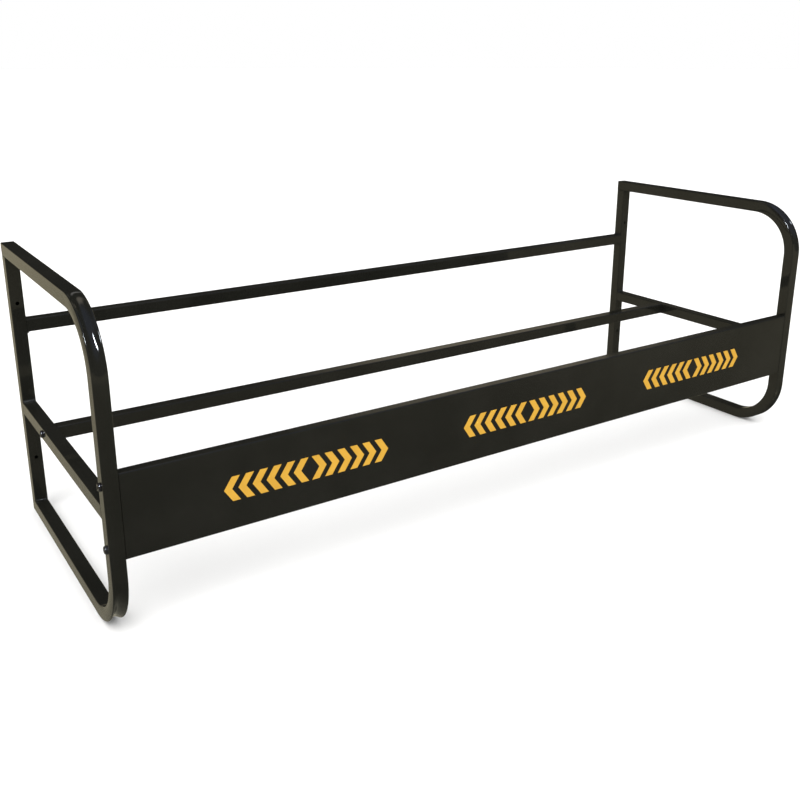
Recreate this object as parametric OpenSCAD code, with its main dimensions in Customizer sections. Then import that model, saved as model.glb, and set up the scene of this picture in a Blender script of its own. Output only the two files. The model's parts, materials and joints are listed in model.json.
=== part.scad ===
// Tyre storage rack: two welded end frames of bent square tube, joined by an upper rail,
// a bolted lower rail and a bolted folded-sheet front panel. Tyres stand in a row between
// the panel and the lower rail. X runs along the wall, +Y points to the wall, Z is up.
// The origin is on the floor, under the middle of the rack.

/* [Rack] */
// Length along the wall, over the two end frames
rack_l = 1650; // [1340:10:2400]
// Depth from the front plane to the wall
rack_d = 567; // [500:1:800]
// Height
rack_h = 552; // [520:1:800]

/* [Square tube] */
// Side of the tube
tube = 25; // [22:1:30]
// Wall thickness of the tube
tube_wall = 1.5; // [1:0.25:1.75]
// Outer corner radius of the tube
tube_corner = 2; // [2:0.25:3]
// Bend radius at the tube's centre line
bend_r = 103; // [90:1:120]
// Depth of the groove pressed into the outside of a bend
groove_depth = 6.5; // [4:0.5:6.5]
// Radius of the tool that presses the groove
groove_tool_r = 11.5; // [9:0.5:11.5]

/* [Bars and rails] */
// Height of the cross bars' centre, and of the lower rail
bar_z = 226; // [200:1:260]
// Distance from the front plane to the lower rail's centre
lower_rail_depth = 389; // [300:1:480]
// Height of the upper rail's centre
upper_rail_z = 391; // [370:1:430]
// Leg length of the fillet welds
weld_leg = 4; // [3:0.5:5]

/* [Front panel] */
// Height of the panel
panel_h = 144; // [128:2:180]
// Height of the panel's centre above the floor
panel_z = 220; // [215:1:245]
// Depth of the folded flanges
panel_d = 19; // [18:1:22]
// Sheet thickness
sheet = 1.5; // [1:0.25:2]
// Outer radius of the folds
fold_r = 2.5; // [2.25:0.25:3]
// Distance that the face sits behind the front plane
panel_setback = 0.5; // [0.4:0.1:1]

/* [Panel marks] */
// Length of one printed mark
mark_l = 312; // [200:1:350]
// Height of one printed mark
mark_h = 43; // [30:1:60]
// Distance between the centres of two marks
mark_pitch = 480; // [400:5:550]
// Number of chevrons on each side of a mark's middle
mark_count = 6; // [3:1:8]
// Thickness of the printed film
mark_t = 0.3; // [0.1:0.1:0.3]

/* [Fasteners] */
// Thread diameter of the bolts
bolt_d = 8; // [6:1:8]
// Diameter of a bolt's domed head
head_d = 14; // [12:0.5:15]
// Height of a bolt's domed head
head_h = 4.4; // [3.3:0.1:5]
// Length of a bolt under its head
bolt_l = 35; // [34:1:45]
// Distance between the two panel bolts on a side
panel_bolt_pitch = 105; // [80:5:105]
// Hexagon of a panel nut, across its flats
nut_af = 13; // [12:0.5:13]
// Height of a panel nut
nut_h = 6.5; // [5:0.5:7]
// Thickness of the tapped plate in each end of the lower rail
nut_plate_t = 8; // [6:1:10]

/* [Wall fixing] */
// Diameter of the wall-fixing holes in the back uprights
wall_hole_d = 7; // [5:0.5:9]
// Height of the lower wall-fixing holes
wall_hole_low = 120; // [60:5:180]
// Height of the upper wall-fixing holes
wall_hole_high = 437; // [420:1:460]

/* [End caps] */
// Thickness of a cap's flange
cap_t = 3; // [2:0.5:4]
// Length of a cap's plug
cap_plug = 14; // [10:1:20]

/* [Hidden] */
$fn = 48;

left = -1;
right = 1;
front_y = -rack_d / 2;
back_y = rack_d / 2;
frame_x = rack_l / 2 - tube / 2;       // centre plane of an end frame
inner_x = rack_l / 2 - tube;           // inner face of an end frame
front_tube_y = front_y + tube / 2;     // centre line of the front uprights
back_tube_y = back_y - tube / 2;       // centre line of the back uprights and the upper rail
lower_rail_y = front_y + lower_rail_depth;
outer_r = bend_r + tube / 2;
hoop_end_y = back_y - cap_t;
bolt_play = 0.25;                      // radial play of a bolt in a plain hole
thread_play = 0.05;                    // radial play of a bolt in a nut, whose thread isn't modelled
socket_af = 5;
socket_depth = 2.6;
cap_play = 0.1;                        // play of a plug or plate in the tube, on each side
past = 1;                              // how far a cutter runs past a face
tool_clearance = 0.3;                  // the groove tool is clear of the tube at both ends of a bend
groove_shift = (groove_depth + tool_clearance) / (sqrt(2) - 1);
groove_ring_r = outer_r + groove_shift + tool_clearance + groove_tool_r;
panel_face_y = front_y + panel_setback;
panel_bolt_z = [panel_z - panel_bolt_pitch / 2, panel_z + panel_bolt_pitch / 2];
relief = 1;                            // gap at the corners of the folded panel
chevron_fill = 0.56;                   // width of a chevron's arm, as part of the step
mark_gap = 6;                          // gap in the middle of a mark
chevron_lean = mark_h / 3;             // how far a chevron's tip is ahead of its ends
chevron_step = (mark_l / 2 - mark_gap / 2 - chevron_lean) / (mark_count - 1 + chevron_fill);
paint = "#26251f";
mark_paint = "#eab02f";

// ---- shapes that repeat ----

// Section of the square tube, moved inwards by inset
module tube_section(inset = 0) {
    side = tube - 2 * inset;
    r = tube_corner - inset;
    square([side, side - 2 * r], center = true);
    square([side - 2 * r, side], center = true);
    for (x = [-1, 1], y = [-1, 1])
        translate([x, y] * (side / 2 - r)) circle(r);
}

// Straight square tube of length l, along +Z
module straight_tube(l) {
    difference() {
        linear_extrude(l) tube_section();
        translate([0, 0, -past]) linear_extrude(l + 2 * past) tube_section(tube_wall);
    }
}

module along_x(l) { translate([-l / 2, 0, 0]) rotate([0, 90, 0]) children(); }
module along_y() { rotate([-90, 0, 0]) children(); }
module at_end(side) { translate([side * frame_x, 0, 0]) children(); }
// Drawn for the right end, and mirrored for the left one
module on_side(side) { if (side > 0) children(); else mirror([1, 0, 0]) children(); }

// Quarter-round weld bead in the corner between a face at z = 0 and one at y = 0, along X
module bead(l) {
    rotate([0, 90, 0]) intersection() {
        cylinder(h = l, r = weld_leg, center = true);
        translate([-weld_leg, 0, -l / 2]) cube([weld_leg, weld_leg, l]);
    }
}

// Domed socket bolt along -X, with its head's underside at x = 0
module dome_bolt() {
    dome_r = (head_d * head_d / 4 + head_h * head_h) / (2 * head_h);
    rotate([0, 90, 0]) difference() {
        union() {
            translate([0, 0, -bolt_l]) cylinder(h = bolt_l, d = bolt_d);
            intersection() {
                translate([0, 0, head_h - dome_r]) sphere(dome_r);
                cylinder(h = head_h, d = head_d + past);
            }
        }
        translate([0, 0, head_h - socket_depth])
            cylinder(h = socket_depth + past, d = socket_af / cos(30), $fn = 6);
    }
}

// ---- end frames ----

// Path of the hoop, filled: top run, bend, front upright, bend, bottom run
module hoop_form(inset, overrun) {
    run_l = hoop_end_y - front_y - outer_r + overrun;
    translate([0, front_tube_y, outer_r])
        linear_extrude(rack_h - 2 * outer_r) tube_section(inset);
    for (top = [0, 1]) translate([0, front_y + outer_r, top ? rack_h - outer_r : outer_r]) {
        translate([0, 0, top ? bend_r : -bend_r]) along_y() linear_extrude(run_l) tube_section(inset);
        rotate([0, 90, 0]) rotate([0, 0, top ? 180 : -90])
            rotate_extrude(angle = 90) translate([bend_r, 0]) tube_section(inset);
    }
}

// Quarter rings that press the grooves into the outside of the two bends
module groove_rings(inset) {
    for (top = [0, 1])
        translate([0, front_y + outer_r + groove_shift,
                   top ? rack_h - outer_r - groove_shift : outer_r + groove_shift])
            rotate([0, 90, 0]) rotate([0, 0, top ? 180 : -90])
                rotate_extrude(angle = 90) translate([groove_ring_r, 0])
                    circle(groove_tool_r + inset);
}

module hoop_tube(side) {
    color(paint) at_end(side) difference() {
        hoop_form(0, 0);
        groove_rings(0);
        difference() {
            hoop_form(tube_wall, past);
            groove_rings(tube_wall);
        }
        for (z = panel_bolt_z) translate([0, front_tube_y, z]) rotate([0, 90, 0])
            cylinder(h = tube + 2 * past, d = bolt_d + 2 * bolt_play, center = true);
    }
}

module back_upright(side) {
    color(paint) at_end(side) difference() {
        translate([0, back_tube_y, tube]) straight_tube(rack_h - 2 * tube);
        for (z = [wall_hole_low, wall_hole_high]) translate([0, back_tube_y, z]) rotate([90, 0, 0])
            cylinder(h = tube + 2 * past, d = wall_hole_d, center = true);
    }
}

module cross_bar(side) {
    color(paint) at_end(side) difference() {
        translate([0, front_y + tube, bar_z]) along_y() straight_tube(rack_d - 2 * tube);
        translate([0, lower_rail_y, bar_z]) rotate([0, 90, 0])
            cylinder(h = tube + 2 * past, d = bolt_d + 2 * bolt_play, center = true);
    }
}

// Fillets in the corners of the end frame: y and z of the corner, then the way it opens
module frame_welds(side) {
    flat_l = tube - 2 * tube_corner;
    corners = [
        [back_y - tube, tube, -1, 1], [back_y - tube, rack_h - tube, -1, -1],
        [back_y - tube, bar_z + tube / 2, -1, 1], [back_y - tube, bar_z - tube / 2, -1, -1],
        [front_y + tube, bar_z + tube / 2, 1, 1], [front_y + tube, bar_z - tube / 2, 1, -1]
    ];
    color(paint) at_end(side) for (c = corners) translate([0, c[0], c[1]])
        mirror([0, c[2] < 0 ? 1 : 0, 0]) mirror([0, 0, c[3] < 0 ? 1 : 0]) bead(flat_l);
}

module end_cap(side, z) {
    color("#1b1b1b") at_end(side) translate([0, 0, z]) {
        translate([0, hoop_end_y, 0]) along_y() linear_extrude(cap_t) tube_section();
        translate([0, hoop_end_y - cap_plug, 0]) along_y() difference() {
            linear_extrude(cap_plug) tube_section(tube_wall + cap_play);
            translate([0, 0, -past]) linear_extrude(cap_plug + past)
                square(tube - 2 * (tube_wall + cap_play) - 4, center = true);
        }
    }
}

// ---- rails ----

module upper_rail() {
    color(paint) translate([0, back_tube_y, upper_rail_z]) along_x(2 * inner_x) straight_tube(2 * inner_x);
}

// Fillets above and below the upper rail, against the upright
module rail_welds(side) {
    color(paint) on_side(side) for (up = [0, 1])
        translate([inner_x, back_tube_y, upper_rail_z + (up ? tube / 2 : -tube / 2)])
            mirror([0, 0, up ? 0 : 1]) rotate([0, 0, 90]) bead(tube - 2 * tube_corner);
}

module lower_rail() {
    color(paint) translate([0, lower_rail_y, bar_z]) along_x(2 * inner_x) straight_tube(2 * inner_x);
}

module rail_nut_plate(side) {
    color("dimgray") on_side(side) translate([inner_x - nut_plate_t, lower_rail_y, bar_z])
        rotate([0, 90, 0]) difference() {
            linear_extrude(nut_plate_t) square(tube - 2 * (tube_wall + tube_corner / 2), center = true);
            translate([0, 0, -past]) cylinder(h = nut_plate_t + 2 * past, d = bolt_d + 2 * thread_play);
        }
}

module rail_bolt(side) {
    color("#15171a") on_side(side) translate([rack_l / 2, lower_rail_y, bar_z]) dome_bolt();
}

// ---- front panel ----

// Rectangle w by d with its two front corners rounded; the front edge is at y = 0
module front_rounded(w, d, r) {
    translate([-w / 2, r]) square([w, d - r]);
    translate([r - w / 2, 0]) square([w - 2 * r, r]);
    for (x = [-1, 1]) translate([x * (w / 2 - r), r]) circle(r);
}

// Block with its front edges rounded: the outside of the panel, or the space in it
module pan_block(l, h, d, r) {
    intersection() {
        rotate([90, 0, 90]) linear_extrude(l, center = true)
            rotate(-90) front_rounded(h, d, r);
        linear_extrude(h, center = true) front_rounded(l, d, r);
    }
}

module front_panel() {
    l = 2 * inner_x;
    color(paint) translate([0, panel_face_y, panel_z]) difference() {
        pan_block(l, panel_h, panel_d, fold_r);
        translate([0, sheet, 0]) pan_block(l - 2 * sheet, panel_h - 2 * sheet, panel_d, fold_r - sheet);
        for (x = [-1, 1], z = [-1, 1])
            translate([x * (l - sheet) / 2, fold_r + panel_d / 2, z * (panel_h / 2 - sheet - relief / 2)])
                cube([sheet + relief, panel_d, relief], center = true);
        for (x = [-1, 1], z = panel_bolt_z)
            translate([x * (l - sheet) / 2, front_tube_y - panel_face_y, z - panel_z]) rotate([0, 90, 0])
                cylinder(h = sheet + 2 * past, d = bolt_d + 2 * bolt_play, center = true);
    }
}

module panel_bolt(side, z) {
    color("#15171a") on_side(side) translate([rack_l / 2, front_tube_y, z]) dome_bolt();
}

module panel_nut(side, z) {
    color("dimgray") on_side(side) translate([inner_x - sheet - nut_h, front_tube_y, z]) rotate([0, 90, 0])
        difference() {
            cylinder(h = nut_h, d = nut_af / cos(30), $fn = 6);
            translate([0, 0, -past]) cylinder(h = nut_h + 2 * past, d = bolt_d + 2 * thread_play);
        }
}

// One chevron, pointing along +X, with its tail at x = 0
module chevron() {
    arm = mark_h / 2;
    thick = chevron_step * chevron_fill;
    tip = thick + chevron_lean;
    polygon([[0, -arm], [thick, -arm], [tip, 0], [thick, arm], [0, arm], [chevron_lean, 0]]);
}

// Plain chevrons that point away from the middle of the mark, on both sides of it
module mark(x) {
    color(mark_paint) translate([x, panel_face_y, panel_z]) rotate([90, 0, 0])
        linear_extrude(mark_t)
            for (flip = [0, 1], i = [0 : mark_count - 1]) mirror([flip, 0])
                translate([mark_gap / 2 + i * chevron_step, 0]) chevron();
}

hoop_tube(left);  // left_hoop_tube
hoop_tube(right);  // right_hoop_tube
back_upright(left);  // left_back_upright
back_upright(right);  // right_back_upright
cross_bar(left);  // left_cross_bar
cross_bar(right);  // right_cross_bar
frame_welds(left);  // left_frame_welds
frame_welds(right);  // right_frame_welds
upper_rail();
rail_welds(left);  // left_rail_welds
rail_welds(right);  // right_rail_welds
lower_rail();
rail_nut_plate(left);  // left_rail_nut_plate
rail_nut_plate(right);  // right_rail_nut_plate
rail_bolt(left);  // left_rail_bolt
rail_bolt(right);  // right_rail_bolt
front_panel();
panel_bolt(left, panel_bolt_z[1]);  // left_upper_panel_bolt
panel_bolt(left, panel_bolt_z[0]);  // left_lower_panel_bolt
panel_bolt(right, panel_bolt_z[1]);  // right_upper_panel_bolt
panel_bolt(right, panel_bolt_z[0]);  // right_lower_panel_bolt
panel_nut(left, panel_bolt_z[1]);  // left_upper_panel_nut
panel_nut(left, panel_bolt_z[0]);  // left_lower_panel_nut
panel_nut(right, panel_bolt_z[1]);  // right_upper_panel_nut
panel_nut(right, panel_bolt_z[0]);  // right_lower_panel_nut
end_cap(left, rack_h - tube / 2);  // left_upper_end_cap
end_cap(left, tube / 2);  // left_lower_end_cap
end_cap(right, rack_h - tube / 2);  // right_upper_end_cap
end_cap(right, tube / 2);  // right_lower_end_cap
mark(-mark_pitch);  // left_mark
mark(0);  // centre_mark
mark(mark_pitch);  // right_mark
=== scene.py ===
"""Tyre storage rack: looks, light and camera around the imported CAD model."""

import json
import math

import bmesh
import bpy
from mathutils import Matrix, Vector, noise


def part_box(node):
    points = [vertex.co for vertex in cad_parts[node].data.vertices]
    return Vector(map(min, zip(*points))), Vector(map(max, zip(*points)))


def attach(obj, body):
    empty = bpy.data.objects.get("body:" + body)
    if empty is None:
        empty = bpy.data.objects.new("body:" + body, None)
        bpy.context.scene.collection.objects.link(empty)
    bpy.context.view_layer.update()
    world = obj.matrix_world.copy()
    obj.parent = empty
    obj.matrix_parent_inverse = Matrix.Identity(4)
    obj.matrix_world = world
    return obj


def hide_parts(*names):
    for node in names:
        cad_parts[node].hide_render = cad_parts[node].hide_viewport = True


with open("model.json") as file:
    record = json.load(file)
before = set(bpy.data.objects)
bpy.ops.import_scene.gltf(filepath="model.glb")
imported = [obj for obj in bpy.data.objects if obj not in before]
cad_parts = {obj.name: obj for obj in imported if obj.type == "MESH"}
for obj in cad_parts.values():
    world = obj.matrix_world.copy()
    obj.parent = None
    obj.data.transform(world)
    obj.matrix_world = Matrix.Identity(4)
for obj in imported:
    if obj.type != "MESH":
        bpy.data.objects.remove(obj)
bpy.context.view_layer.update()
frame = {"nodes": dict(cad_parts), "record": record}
MM = 0.001
SIDES = {"left": -1, "right": 1}
UP = Vector((0, 0, 1))

# sizes from the part's source that aren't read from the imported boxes
BEND_R = 103 * MM                  # to the middle of the tube
GROOVE = 6.5 * MM                  # depth pressed into the outside of a bend
CORNER = 2 * MM                    # outer corner radius of the tube
WELD_LEG = 4 * MM
BOLT_R = 4 * MM
HEAD_R = 7 * MM
HEAD_H = 4.4 * MM
NUT_AF = 13 * MM                   # across flats

# the CAD bolts and nuts are plain, so their thread is stated here
THREAD_PITCH = 1.25 * MM


# ---------------------------------------------------------------- meshes

def add_piece(name, bm, material, replaced):
    """Turns a bmesh into a smooth-shaded piece that rides on the rack and replaces one CAD node."""
    bmesh.ops.recalc_face_normals(bm, faces=bm.faces)
    mesh = bpy.data.meshes.new(name)
    bm.to_mesh(mesh)
    bm.free()
    mesh.polygons.foreach_set("use_smooth", [True] * len(mesh.polygons))
    mesh.materials.append(material)
    piece = bpy.data.objects.new(name, mesh)
    bpy.context.scene.collection.objects.link(piece)
    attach(piece, "root")
    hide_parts(replaced)
    return piece


def sharpen(piece, degrees):
    """Hard edges where faces meet steeply, and flat faces that stay flat when shaded."""
    limit = math.radians(degrees)
    bm = bmesh.new()
    bm.from_mesh(piece.data)
    for edge in bm.edges:
        if len(edge.link_faces) == 2 and edge.calc_face_angle(0) > limit:
            edge.smooth = False
    bm.to_mesh(piece.data)
    bm.free()
    weighted = piece.modifiers.new("flat_faces", "WEIGHTED_NORMAL")
    weighted.keep_sharp = True
    weighted.weight = 80


def loft(bm, rings, closed_ends=True):
    """Joins rings of points with quads, and closes both ends or leaves them open."""
    made = [[bm.verts.new(p) for p in ring] for ring in rings]
    for a, b in zip(made, made[1:]):
        for i in range(len(a)):
            j = (i + 1) % len(a)
            bm.faces.new((a[i], a[j], b[j], b[i]))
    if closed_ends:
        bm.faces.new(list(reversed(made[0])))
        bm.faces.new(made[-1])
    return made


def smooth_step(t):
    t = min(max(t, 0.0), 1.0)
    return t * t * (3 - 2 * t)


def middle(low, high):
    return (low + high) / 2


# -- bent hoops

def hoop_section(half, press):
    """Points (u, v) round the tube; v points away from the bend's centre. press goes from 0 in a
    straight stretch to 1 in the middle of a bend, where the outer wall is folded in between two
    rounded ridges."""
    r_out = CORNER + 0.4 * MM * press        # the corners get rounder in a bend
    r_in = CORNER + 0.5 * MM * press
    out_steps, in_steps = 7, 4               # round a corner
    groove_steps, wall_steps = 26, 8         # along a side
    points = []

    def corner(cu, cv, r, start, steps):
        for k in range(steps + 1):
            a = math.radians(start + 90 * k / steps)
            points.append((cu + r * math.cos(a), cv + r * math.sin(a)))

    def side(a, b, steps):
        for k in range(1, steps):
            t = k / steps
            points.append((a[0] + (b[0] - a[0]) * t, a[1] + (b[1] - a[1]) * t))

    corner(half - r_out, half - r_out, r_out, 0, out_steps)
    side((half - r_out, half), (r_out - half, half), groove_steps)
    corner(r_out - half, half - r_out, r_out, 90, out_steps)
    side((-half, half - r_out), (-half, r_in - half), wall_steps)
    corner(r_in - half, r_in - half, r_in, 180, in_steps)
    side((r_in - half, -half), (half - r_in, -half), wall_steps)
    corner(half - r_in, r_in - half, r_in, 270, in_steps)
    side((half, r_in - half), (half, half - r_out), wall_steps)

    groove_half = 11 * MM
    groove_shape = 1.35                      # above 1, so the groove eases in at its edges
    bulge = 0.9 * MM * press                 # of the side walls
    dent = 0.7 * MM * press                  # of the inner wall
    on_wall = half - 0.01 * MM
    shaped = []
    for u, v in points:
        if press > 0:
            if v > 0 and abs(u) < groove_half:
                v -= GROOVE * press * (1 - (u / groove_half) ** 2) ** groove_shape
            if abs(v) < half - r_in and abs(u) > on_wall:
                swell = 1 - (v / (half - r_in)) ** 2
                u += math.copysign(bulge * swell, u)
            if v < -on_wall:
                v += dent * (1 - (u / half) ** 2)
        shaped.append((u, v))
    return shaped


def hoop(side_name):
    low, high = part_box(f"{side_name}_hoop_tube")
    half = (high.x - low.x) / 2
    x = middle(low.x, high.x)
    outer = BEND_R + half
    run_out = 3 * MM / BEND_R                # the press marks run on into the straights
    swept = math.pi / 2 + 2 * run_out
    end_gap = 3.2 * MM                       # the straights stop this far before the arc begins
    onset = 0.42                             # share of a bend over which the press mark sets in
    straight_steps, bend_steps = 6, 56
    stations = []                            # y, z, outward direction, press

    def straight(y0, z0, y1, z1, out):
        for k in range(straight_steps + 1):
            t = k / straight_steps
            stations.append((y0 + (y1 - y0) * t, z0 + (z1 - z0) * t, out, 0.0))

    def bend(cy, cz, start):
        """Turns from angle start to start + 90 degrees, measured from +Z towards -Y."""
        for k in range(bend_steps + 1):
            t = -run_out + swept * k / bend_steps
            turn = min(max(t, 0.0), math.pi / 2)
            past = (t - turn) * BEND_R
            a = start + turn
            out = (-math.sin(a), math.cos(a))
            along = (-math.cos(a), -math.sin(a))
            done = (t + run_out) / swept
            press = smooth_step(min(done, 1 - done) / onset)
            stations.append((cy + out[0] * BEND_R + along[0] * past,
                             cz + out[1] * BEND_R + along[1] * past, out, press))

    cy = low.y + outer
    top, base = high.z - outer, low.z + outer
    straight(high.y, high.z - half, cy + end_gap, high.z - half, (0, 1))
    bend(cy, top, 0.0)
    straight(low.y + half, top - end_gap, low.y + half, base + end_gap, (-1, 0))
    bend(cy, base, math.pi / 2)
    straight(cy + end_gap, low.z + half, high.y, low.z + half, (0, -1))

    rings = []
    for y, z, out, press in stations:
        section = hoop_section(half, press)
        rings.append([(x + u, y + out[0] * v, z + out[1] * v) for u, v in section])
    bm = bmesh.new()
    loft(bm, rings)
    piece = add_piece(f"{side_name}_hoop", bm, PAINT, f"{side_name}_hoop_tube")
    sharpen(piece, 40)


# -- weld beads

def weld_bead(bm, at, along, a, b, length, seed):
    """A rippled fillet in the corner between two faces; a and b lie in the faces, away from the corner."""
    steps = 64
    arcs = 9
    pitch = 2.8 * MM
    taper = 3 * MM                           # at either end
    root = 0.5 * MM                          # how far the bead's back is sunk into the corner
    bow = 0.35                               # how far a ripple runs ahead in its middle, in pitches
    waviness = 180                           # of the bead's thickness along its length, per metre
    apart = 7.3                              # sets one bead's waviness apart from the next one's
    fullness = 0.7                           # below 1, so the ripples are full and the gaps narrow
    valley, crest, drift = 0.78, 0.20, 0.12  # leg between ripples, what a ripple and the waviness add
    thinnest = 0.02                          # so that the ends don't shrink to nothing
    rings = []
    for k in range(steps + 1):
        s = (k / steps - 0.5) * length
        end = 1 - max(0.0, (abs(s) - length / 2 + taper) / taper) ** 2
        wave = noise.noise(Vector((s * waviness, seed * apart, 0.0)))
        ring = [at + along * s - (a + b) * root]
        for i in range(arcs + 1):
            f = math.pi / 2 * i / arcs
            scale = s / pitch + bow * math.cos(2 * f - math.pi / 2) + seed
            ripple = abs(math.sin(math.pi * scale)) ** fullness
            r = WELD_LEG * math.sqrt(max(end, thinnest)) * (valley + crest * ripple + drift * wave)
            toe = 0.35 * MM if i in (0, arcs) else 0.0
            p = at + along * s + (a * math.cos(f) + b * math.sin(f)) * r
            p -= (b if i == 0 else a) * toe
            ring.append(p)
        rings.append(ring)
    loft(bm, rings)


def bead_length(low, high):
    """The flat part of a tube's width, and a little of the rounded corners beside it."""
    return high - low - 3.4 * MM


def frame_welds(side_name):
    hoop_low, hoop_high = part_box(f"{side_name}_hoop_tube")
    back_low, back_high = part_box(f"{side_name}_back_upright")
    bar_low, bar_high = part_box(f"{side_name}_cross_bar")
    x = middle(hoop_low.x, hoop_high.x)
    along = Vector((1, 0, 0))
    to_back, to_front = Vector((0, 1, 0)), Vector((0, -1, 0))
    length = bead_length(hoop_low.x, hoop_high.x)
    corners = [
        (back_low.y, back_low.z, to_front, UP), (back_low.y, back_high.z, to_front, -UP),
        (bar_high.y, bar_high.z, to_front, UP), (bar_high.y, bar_low.z, to_front, -UP),
        (bar_low.y, bar_high.z, to_back, UP), (bar_low.y, bar_low.z, to_back, -UP),
    ]
    bm = bmesh.new()
    for n, (y, z, a, b) in enumerate(corners):
        seed = n * 0.37 + (side_name == "left") * 0.19     # so that no two beads are alike
        weld_bead(bm, Vector((x, y, z)), along, a, b, length, seed)
    add_piece(f"{side_name}_frame_weld_beads", bm, WELD_PAINT, f"{side_name}_frame_welds")


def rail_welds(side_name):
    side = SIDES[side_name]
    low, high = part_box("upper_rail")
    x = high.x if side > 0 else low.x
    y = middle(low.y, high.y)
    along, inward = Vector((0, 1, 0)), Vector((-side, 0, 0))
    length = bead_length(low.y, high.y)
    bm = bmesh.new()
    for n, (z, away) in enumerate(((high.z, UP), (low.z, -UP))):
        weld_bead(bm, Vector((x, y, z)), along, inward, away, length, 0.3 + n * 0.41)
    add_piece(f"{side_name}_rail_weld_beads", bm, WELD_PAINT, f"{side_name}_rail_welds")


# -- fasteners

def circle(r, z, count):
    return [(r * math.cos(2 * math.pi * k / count), r * math.sin(2 * math.pi * k / count), z)
            for k in range(count)]


def hexagon(across_flats, z, count, limit=None):
    """Points round a hexagon, one for each of count directions; limit rounds its corners off."""
    ring = []
    for k in range(count):
        a = 2 * math.pi * k / count
        off = (a + math.pi / 6) % (math.pi / 3) - math.pi / 6
        r = across_flats / 2 / math.cos(off)
        if limit:
            r = min(r, limit)
        ring.append((r * math.cos(a), r * math.sin(a), z))
    return ring


def thread_ring(z, count, radius_at):
    """A ring whose radius follows the thread; radius_at takes 0 on a turn to 1 midway between two."""
    ring = []
    for i in range(count):
        a = 2 * math.pi * i / count
        phase = (z / THREAD_PITCH + i / count) % 1.0
        r = radius_at(abs(2 * phase - 1))
        ring.append((r * math.cos(a), r * math.sin(a), z))
    return ring


def seat_on(bm, at, out, turn):
    """Turns a fastener drawn along +Z about its axis, and stands it on `at`, pointing along out * X."""
    tilt = UP.rotation_difference(Vector((out, 0, 0))).to_matrix().to_4x4()
    bm.transform(Matrix.Translation(at) @ tilt @ Matrix.Rotation(turn, 4, "Z"))


def bolt(name, at, out, length, turn):
    """Domed socket bolt: head out of the seat at `at` along `out`, threaded shank the other way."""
    count = 72
    rings = []

    # shank end, thread and plain neck
    depth = 0.65 * MM
    chamfer = 0.5 * MM
    root = BOLT_R - depth
    thread_l = length - 3 * MM               # the rest is the chamfer and the plain neck
    flank = 1.25                             # above 1, so the thread's crests are flat
    rings_per_turn = 6
    fade_rings = 5                           # over which the thread runs out at either end
    steps = int(thread_l / THREAD_PITCH * rings_per_turn)
    neck = BOLT_R - 0.1 * MM
    rings.append(circle(root - chamfer, -length, count))
    rings.append(circle(root, -length + chamfer, count))
    for k in range(1, steps):
        z = -length + chamfer + thread_l * k / steps
        fade = smooth_step((k - 1) / fade_rings) * smooth_step((steps - k) / fade_rings)
        rings.append(thread_ring(z, count, lambda t: root + depth * min(1.0, (1 - t) * flank) * fade))
    rings.append(circle(neck, -2.2 * MM, count))
    rings.append(circle(neck, 0.02 * MM, count))

    # head: seat, rounded rim and dome
    land = 4.1 * MM
    rim = 0.6 * MM
    dome_steps = 12
    rings.append(circle(HEAD_R - 0.5 * MM, 0.02 * MM, count))
    rings.append(circle(HEAD_R - 0.12 * MM, 0.10 * MM, count))
    rings.append(circle(HEAD_R, 0.32 * MM, count))
    for k in range(dome_steps + 1):
        a = math.pi / 2 * k / dome_steps
        r = land + (HEAD_R - land) * math.cos(a) ** 0.9
        rings.append(circle(r, rim + (HEAD_H - rim) * math.sin(a), count))

    # flat land and a socket with a broken edge
    socket_af = 5 * MM
    mouth = socket_af / 2 / math.cos(math.pi / 6) + 0.35 * MM
    rings.append(circle(mouth, HEAD_H, count))
    rings.append(hexagon(socket_af + 0.36 * MM, HEAD_H - 0.12 * MM, count, mouth - 0.04 * MM))
    rings.append(hexagon(socket_af, HEAD_H - 0.42 * MM, count))
    rings.append(hexagon(socket_af, HEAD_H - 2.45 * MM, count))
    rings.append(hexagon(socket_af - 0.5 * MM, HEAD_H - 2.6 * MM, count))
    rings.append(circle(0.8 * MM, HEAD_H - 3.0 * MM, count))

    bm = bmesh.new()
    loft(bm, rings)
    seat_on(bm, at, out, turn)
    sharpen(add_piece(f"{name}_body", bm, BLACK_STEEL, name), 34)


def nut(name, at, out):
    """Hexagon nut with its corners turned down and a threaded bore; `at` is the middle of its seat."""
    low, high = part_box(name)
    height = high.x - low.x
    count = 96
    cone = NUT_AF / 2 * 0.97                 # where the corners start to drop
    face = cone - 0.2 * MM
    slope = math.tan(math.radians(30))

    def outline(z_face, sign):
        ring = []
        for x, y, _ in hexagon(NUT_AF, 0, count):
            drop = max(0.0, math.hypot(x, y) - cone) * slope
            ring.append((x, y, z_face - sign * drop))
        return ring

    bore = BOLT_R + 0.06 * MM
    chamfer = 0.5 * MM
    depth = 0.25 * MM
    fade_rings = 4                           # over which the thread runs out at either end
    steps = 30
    rings = [
        circle(bore, chamfer, count), circle(bore + chamfer, 0.0, count), circle(face, 0.0, count),
        outline(0.0, -1), outline(height, 1),
        circle(face, height, count), circle(bore + chamfer, height, count),
    ]
    for k in range(steps):
        z = height - chamfer - (height - 2 * chamfer) * k / steps
        fade = smooth_step(min(k, steps - k) / fade_rings)
        rings.append(thread_ring(z, count, lambda t: bore + depth * t * fade))

    bm = bmesh.new()
    made = loft(bm, rings, closed_ends=False)
    first, last = made[0], made[-1]
    for i in range(count):
        j = (i + 1) % count
        bm.faces.new((last[i], last[j], first[j], first[i]))
    seat_on(bm, at, out, math.pi / 6)
    sharpen(add_piece(f"{name}_body", bm, ZINC, name), 30)


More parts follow.
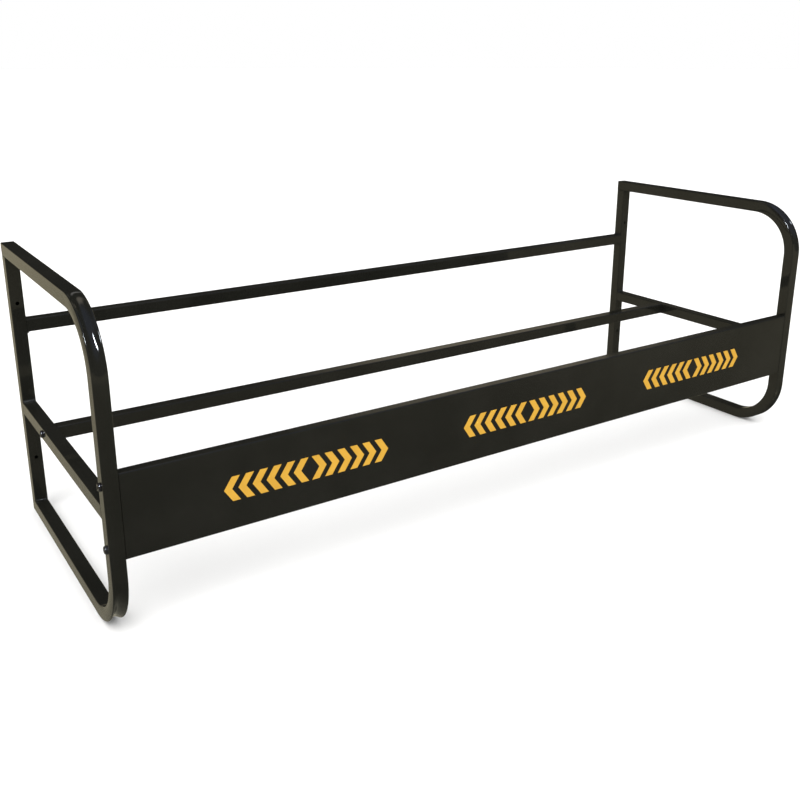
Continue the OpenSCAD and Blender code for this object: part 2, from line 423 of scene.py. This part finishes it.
def fasteners():
    turns = iter((0.3, 0.75, 1.3, 0.1, 0.52, 1.1))    # each socket stands at its own angle
    for side_name, side in SIDES.items():
        hoop_low, hoop_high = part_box(f"{side_name}_hoop_tube")
        seat_x = hoop_high.x if side > 0 else hoop_low.x
        for place in ("rail", "upper_panel", "lower_panel"):
            name = f"{side_name}_{place}_bolt"
            low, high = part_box(name)
            tip = low.x if side > 0 else high.x
            at = Vector((seat_x, middle(low.y, high.y), middle(low.z, high.z)))
            bolt(name, at, side, abs(seat_x - tip), next(turns))
        for place in ("upper_panel", "lower_panel"):
            name = f"{side_name}_{place}_nut"
            low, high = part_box(name)
            seat = high.x if side > 0 else low.x
            at = Vector((seat, middle(low.y, high.y), middle(low.z, high.z)))
            nut(name, at, -side)


# -- end caps

def rounded_square(side, r):
    steps = 6
    half = side / 2
    ring = []
    for n in range(4):
        cx = (half - r) * (1 if n in (0, 3) else -1)
        cz = (half - r) * (1 if n in (0, 1) else -1)
        for k in range(steps + 1):
            a = math.radians(90 * n + 90 * k / steps)
            ring.append((cx + r * math.cos(a), cz + r * math.sin(a)))
    return ring


def end_cap(name):
    low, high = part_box(name)
    side = high.x - low.x
    cx, cz = middle(low.x, high.x), middle(low.z, high.z)
    front, back = low.y, high.y
    flange = back - 3 * MM                   # where the plug ends and the flange starts
    plug = side - 3.4 * MM
    plug_r = 1.0 * MM
    outline = [                              # y, side and corner radius of each square
        (front, plug - 6 * MM, 0.6 * MM),
        (front, plug - 0.8 * MM, plug_r),
        (front + 1.5 * MM, plug, plug_r),
        (flange - 0.02 * MM, plug, plug_r),
        (flange, side - 1.0 * MM, CORNER - 0.5 * MM),
        (flange + 0.3 * MM, side - 0.1 * MM, CORNER),
        (back - 1.1 * MM, side - 0.1 * MM, CORNER),
        (back - 0.75 * MM, side - 0.3 * MM, CORNER),
        (back - 0.4 * MM, side - 0.9 * MM, CORNER - 0.3 * MM),
        (back - 0.2 * MM, side - 1.9 * MM, CORNER - 0.8 * MM),
        (back - 0.08 * MM, side - 4.5 * MM, 1.4 * MM),
        (back, side - 10 * MM, 1.2 * MM),
    ]
    rings = [[(cx + u, y, cz + v) for u, v in rounded_square(s, r)] for y, s, r in outline]
    bm = bmesh.new()
    loft(bm, rings)
    sharpen(add_piece(f"{name}_body", bm, PLASTIC, name), 50)


# ---------------------------------------------------------------- materials

class Nodes:
    """Short way to write the node tree of a material or of the world."""

    def __init__(self, owner, shader="Principled BSDF", place="Object"):
        owner.use_nodes = True
        self.owner = owner
        self.tree = owner.node_tree
        self.shader = self.tree.nodes[shader]
        self.place = self.tree.nodes.new("ShaderNodeTexCoord").outputs[place]

    def add(self, kind, inputs=(), **settings):
        node = self.tree.nodes.new(kind)
        for key, value in settings.items():
            setattr(node, key, value)
        for key, value in dict(inputs).items():
            self.put(node, key, value)
        return node

    def put(self, node, key, value):
        if isinstance(value, bpy.types.NodeSocket):
            self.tree.links.new(value, node.inputs[key])
        else:
            node.inputs[key].default_value = value

    def noise(self, scale, detail=2.0, rough=0.5):
        node = self.add("ShaderNodeTexNoise", {"Vector": self.place, "Scale": scale,
                                               "Detail": detail, "Roughness": rough})
        return node.outputs["Fac"]

    def spread(self, value, low, high, to_low, to_high, smooth=False):
        node = self.add("ShaderNodeMapRange", {"Value": value, "From Min": low, "From Max": high,
                                               "To Min": to_low, "To Max": to_high},
                        interpolation_type="SMOOTHSTEP" if smooth else "LINEAR")
        return node.outputs["Result"]

    def blend(self, factor, a, b):
        node = self.add("ShaderNodeMix", data_type="RGBA")
        self.put(node, 0, factor)
        self.put(node, 6, a)
        self.put(node, 7, b)
        return node.outputs[2]

    def between(self, value, low, high, a, b):
        """Colour a where value is low, colour b where it is high."""
        return self.blend(self.spread(value, low, high, 0.0, 1.0), a, b)

    def scaled(self, colour, factor):
        node = self.add("ShaderNodeVectorMath", {0: colour, "Scale": factor}, operation="SCALE")
        return node.outputs["Vector"]

    def maths(self, operation, a, b):
        node = self.add("ShaderNodeMath", operation=operation)
        self.put(node, 0, a)
        self.put(node, 1, b)
        return node.outputs[0]

    def bump(self, height, distance, strength, normal=None):
        node = self.add("ShaderNodeBump", {"Height": height, "Distance": distance, "Strength": strength})
        if normal:
            self.put(node, "Normal", normal)
        return node.outputs["Normal"]

    def finish(self, **sockets):
        for key, value in sockets.items():
            self.put(self.shader, key.replace("_", " "), value)
        return self.owner


def material_nodes(name):
    return Nodes(bpy.data.materials.new(name))


def painted(name, peel, rough_low, rough_high):
    """Gloss black paint: fine orange peel, slow change of tone, thin dust."""
    n = material_nodes(name)
    tone = n.noise(9.0, 3.0)
    colour = n.between(tone, 0.35, 0.65, (0.0082, 0.0083, 0.0067, 1), (0.0108, 0.0108, 0.0088, 1))
    grit = n.spread(n.noise(900.0, 2.0, 0.6), 0.66, 0.78, 0.0, 1.0)
    patches = n.spread(tone, 0.45, 0.7, 0.0, 1.0)
    dust = n.spread(n.maths("MULTIPLY", grit, patches), 0.0, 1.0, 0.0, 0.35)
    colour = n.blend(dust, colour, (0.045, 0.043, 0.038, 1))
    rough = n.spread(n.noise(26.0, 4.0, 0.6), 0.3, 0.7, rough_low, rough_high)
    waves = n.bump(n.noise(30.0, 2.0), 0.18 * MM, 0.5)
    skin = n.bump(n.noise(330.0, 1.5), 0.03 * MM * peel, 0.8, waves)
    return n.finish(Base_Color=colour, Roughness=rough, Normal=skin, IOR=1.45)


def black_steel():
    n = material_nodes("black_oxide_steel")
    tone = n.noise(240.0, 3.0)
    colour = n.between(tone, 0.3, 0.7, (0.045, 0.045, 0.048, 1), (0.09, 0.09, 0.094, 1))
    rough = n.spread(n.noise(600.0, 3.0), 0.3, 0.7, 0.09, 0.17)
    grain = n.bump(n.noise(1500.0, 2.0), 0.02 * MM, 0.6)
    return n.finish(Base_Color=colour, Roughness=rough, Metallic=0.85, Normal=grain)


def zinc():
    n = material_nodes("zinc_plated_steel")
    tone = n.noise(160.0, 4.0)
    colour = n.between(tone, 0.3, 0.7, (0.36, 0.37, 0.39, 1), (0.56, 0.56, 0.55, 1))
    rough = n.spread(n.noise(420.0, 3.0), 0.3, 0.7, 0.26, 0.46)
    grain = n.bump(n.noise(1200.0, 2.0), 0.02 * MM, 0.6)
    return n.finish(Base_Color=colour, Roughness=rough, Metallic=1.0, Normal=grain)


def plastic():
    n = material_nodes("moulded_plastic")
    tone = n.noise(70.0, 3.0)
    colour = n.between(tone, 0.3, 0.7, (0.010, 0.010, 0.010, 1), (0.017, 0.017, 0.016, 1))
    rough = n.spread(n.noise(300.0, 2.0), 0.3, 0.7, 0.38, 0.55)
    cells = n.add("ShaderNodeTexVoronoi", {"Vector": n.place, "Scale": 1500.0}).outputs["Distance"]
    grain = n.bump(cells, 0.04 * MM, 0.5)
    return n.finish(Base_Color=colour, Roughness=rough, Normal=grain)


def amber():
    n = material_nodes("amber_print")
    tone = n.noise(40.0, 4.0)
    colour = n.between(tone, 0.3, 0.7, (0.50, 0.265, 0.018, 1), (0.555, 0.305, 0.024, 1))
    speck = n.spread(n.noise(1300.0, 2.0, 0.6), 0.68, 0.8, 0.0, 0.35)
    colour = n.blend(speck, colour, (0.36, 0.18, 0.014, 1))
    rough = n.spread(n.noise(500.0, 2.0), 0.3, 0.7, 0.34, 0.46)
    grain = n.bump(n.noise(700.0, 2.0), 0.02 * MM, 0.6)
    return n.finish(Base_Color=colour, Roughness=rough, Normal=grain)


def floor_material():
    n = material_nodes("studio_floor")
    tone = n.noise(1.5, 4.0)
    colour = n.between(tone, 0.3, 0.7, (0.845, 0.845, 0.840, 1), (0.860, 0.860, 0.855, 1))
    rough = n.spread(n.noise(3.0, 2.0), 0.3, 0.7, 0.9, 1.0)
    return n.finish(Base_Color=colour, Roughness=rough, IOR=1.0)


PAINT = painted("black_gloss_paint", 0.4, 0.03, 0.06)
WELD_PAINT = painted("black_gloss_paint_on_welds", 0.8, 0.03, 0.07)
PANEL_PAINT = painted("black_gloss_paint_on_sheet", 0.5, 0.11, 0.17)
BLACK_STEEL = black_steel()
ZINC = zinc()
PLASTIC = plastic()
AMBER = amber()


# ---------------------------------------------------------------- the rack

for side_name in SIDES:
    hoop(side_name)
    frame_welds(side_name)
    rail_welds(side_name)
    end_cap(f"{side_name}_upper_end_cap")
    end_cap(f"{side_name}_lower_end_cap")
fasteners()

# the CAD nodes that stay visible get their looks from the same materials
SLOT_MATERIALS = {"black_paint": PAINT, "black_steel": BLACK_STEEL, "zinc_steel": ZINC,
                  "black_plastic": PLASTIC, "amber_film": AMBER}
for part in frame["record"]["subparts"]:
    cad = frame["nodes"][part["node"]]
    material = PANEL_PAINT if part["node"] == "front_panel" else SLOT_MATERIALS[part["material_slot"]]
    cad.data.materials.clear()
    cad.data.materials.append(material)


# ---------------------------------------------------------------- floor, light, camera

# lights that show only in glossy surfaces; wide and tall are half angles in degrees
WINDOWS = (
    {"towards": (-0.54, -0.49, 0.68), "wide": 5.0, "tall": 6.5, "strength": 150.0,
     "colour": (0.86, 0.93, 1.0)},           # the streaks on the bends and the glints on the bolts
    {"towards": (0.03, 0.42, 0.90), "wide": 18.0, "tall": 8.0, "strength": 1.2,
     "colour": (1.0, 0.9, 0.74)},            # the warm patch where the near top bend starts
    {"towards": (0.23, 0.77, 0.59), "wide": 8.0, "tall": 3.2, "strength": 0.7,
     "colour": (1.0, 0.98, 0.94)},           # the fine line before that patch
    {"towards": (0.60, 0.73, 0.325), "wide": 10.0, "tall": 3.8, "strength": 0.45,
     "colour": (1.0, 0.88, 0.65)},           # the warm stretch on the panel's top flange
)


def window_light(n, window):
    """Brightness of one window in each direction, with soft edges."""
    towards = Vector(window["towards"]).normalized()
    side = towards.cross(UP).normalized()

    def along(axis):
        node = n.add("ShaderNodeVectorMath", {0: n.place, 1: axis}, operation="DOT_PRODUCT")
        return node.outputs["Value"]

    def inside(offset, half):
        edge = math.sin(math.radians(half * 1.5))     # beyond it no light
        core = math.sin(math.radians(half * 0.4))     # within it full light
        return n.spread(n.maths("ABSOLUTE", offset, 0.0), edge, core, 0.0, 1.0, smooth=True)

    across = inside(along(side), window["wide"])
    upright = inside(along(side.cross(towards)), window["tall"])
    shape = n.maths("MULTIPLY", across, upright)
    facing = n.maths("GREATER_THAN", along(towards), 0.0)
    return n.maths("MULTIPLY", n.maths("MULTIPLY", shape, facing), window["strength"])


def room_in_gloss(n):
    """What glossy surfaces mirror: a warm floor, darker in front and right below, in a dark room
    with a cool ceiling over its front part, and the windows."""
    split = n.add("ShaderNodeSeparateXYZ", {"Vector": n.place})
    y, z = split.outputs["Y"], split.outputs["Z"]
    ground = n.between(z, -0.8, -0.2, (0.30, 0.29, 0.23, 1), (0.50, 0.45, 0.31, 1))
    in_front = n.spread(y, -0.5, 0.3, 1.0, 0.0)
    loss = n.spread(z, -0.45, -0.2, 0.80, 0.40)
    ground = n.scaled(ground, n.maths("SUBTRACT", 1.0, n.maths("MULTIPLY", in_front, loss)))
    overhead = n.spread(z, 0.35, 0.8, 0.0, 1.0, smooth=True)
    ceiling = n.maths("MULTIPLY", overhead, n.spread(y, 0.45, 0.0, 0.0, 1.0, smooth=True))
    air = n.blend(ceiling, (0.020, 0.019, 0.018, 1), (0.15, 0.20, 0.38, 1))
    room = n.blend(n.spread(z, -0.04, 0.04, 0.0, 1.0, smooth=True), ground, air)
    for window in WINDOWS:
        light = n.scaled(window["colour"], window_light(n, window))
        room = n.add("ShaderNodeVectorMath", {0: room, 1: light}, operation="ADD").outputs["Vector"]
    return room


def lay_floor():
    far_rim = 60.0                           # metres
    bm = bmesh.new()
    bmesh.ops.create_circle(bm, cap_ends=True, radius=far_rim, segments=96)
    mesh = bpy.data.meshes.new("floor")
    bm.to_mesh(mesh)
    bm.free()
    mesh.materials.append(floor_material())
    floor = bpy.data.objects.new("floor", mesh)
    floor.location.z = -0.4 * MM             # just clear of the hoops' undersides
    floor.visible_glossy = False             # glossy surfaces mirror the made-up room's floor instead
    bpy.context.scene.collection.objects.link(floor)


def light_world():
    """White to the camera, the made-up room in reflections, and an even grey for all other light."""
    world = bpy.data.worlds.new("studio")
    bpy.context.scene.world = world
    n = Nodes(world, "Background", "Generated")
    rays = n.add("ShaderNodeLightPath")
    lit = n.blend(rays.outputs["Is Glossy Ray"], (0.78, 0.78, 0.78, 1), room_in_gloss(n))
    n.put(n.shader, "Color", n.blend(rays.outputs["Is Camera Ray"], lit, (1, 1, 1, 1)))


def softbox(name, energy, colour, at, spread):
    """A broad, soft light from `at` towards the rack that doesn't show in reflections."""
    data = bpy.data.lights.new(name, "SUN")
    data.energy = energy
    data.color = colour
    data.angle = math.radians(spread)
    light = bpy.data.objects.new(name, data)
    light.location = at
    aim = Vector((0, 0, 0.2)) - Vector(at)   # 0.2 m up, inside the rack
    light.rotation_mode = "QUATERNION"
    light.rotation_quaternion = aim.to_track_quat("-Z", "Y")
    light.visible_glossy = False
    bpy.context.scene.collection.objects.link(light)


lay_floor()
light_world()
softbox("key", 2.8, (1.0, 0.99, 0.98), (-1.5, -2.5, 4.0), 50)
softbox("fill", 0.9, (0.98, 0.99, 1.0), (3.0, -2.0, 2.5), 60)

# the photograph's view: the same place, direction and lens
camera_data = bpy.data.cameras.new("camera")
camera_data.sensor_width = 36.0
camera_data.lens = 42.04
camera_data.shift_x = -0.00075
camera_data.shift_y = -0.0753
camera_data.dof.use_dof = False
camera = bpy.data.objects.new("camera", camera_data)
camera.location = (-1.14648, -1.57594, 0.88872)
azimuth, elevation = math.radians(-33.289), math.radians(16.965)
behind = Vector((math.sin(azimuth) * math.cos(elevation),
                 -math.cos(azimuth) * math.cos(elevation),
                 math.sin(elevation)))
camera.rotation_mode = "QUATERNION"
camera.rotation_quaternion = (-behind).to_track_quat("-Z", "Y")
bpy.context.scene.collection.objects.link(camera)
bpy.context.scene.camera = camera
bpy.context.scene.view_settings.view_transform = "Standard"
